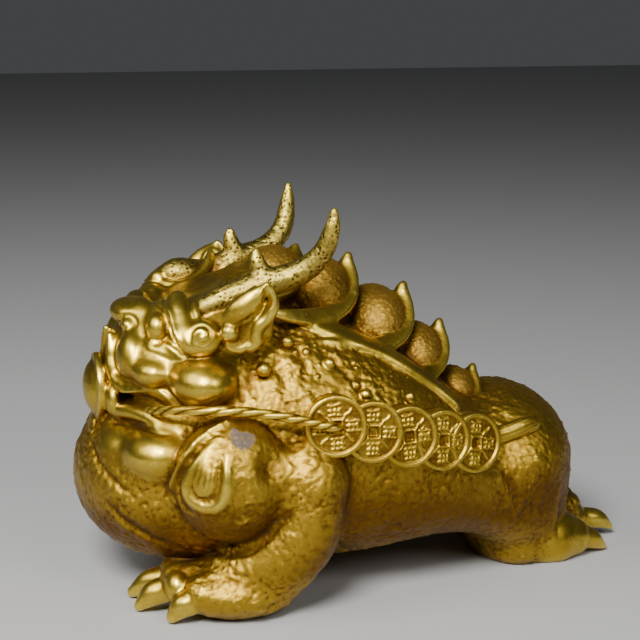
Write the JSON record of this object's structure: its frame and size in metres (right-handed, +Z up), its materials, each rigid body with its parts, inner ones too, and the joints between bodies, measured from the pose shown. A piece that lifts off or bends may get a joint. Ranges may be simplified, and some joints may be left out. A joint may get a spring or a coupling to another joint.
{
  "type": "money toad figurine",
  "caption": "Horned money toad ornament cast in gilded brass, with petal-like crests along its back and a string of old coins down each flank. It stands on its own feet.",
  "frame": {"origin": "on the ground, under the middle of the figure's bounding box", "axes": "+Z is up, the toad looks along -Y, and its left side is +X"},
  "size_m": [0.1154, 0.192, 0.1267],
  "materials": {
    "brass": "satin gilded brass, polished on the head and pitted on the body, with warm brown patina in the recesses"
  },
  "bodies": {
    "root": {"money_toad": "brass"}
  },
  "joints": []
}
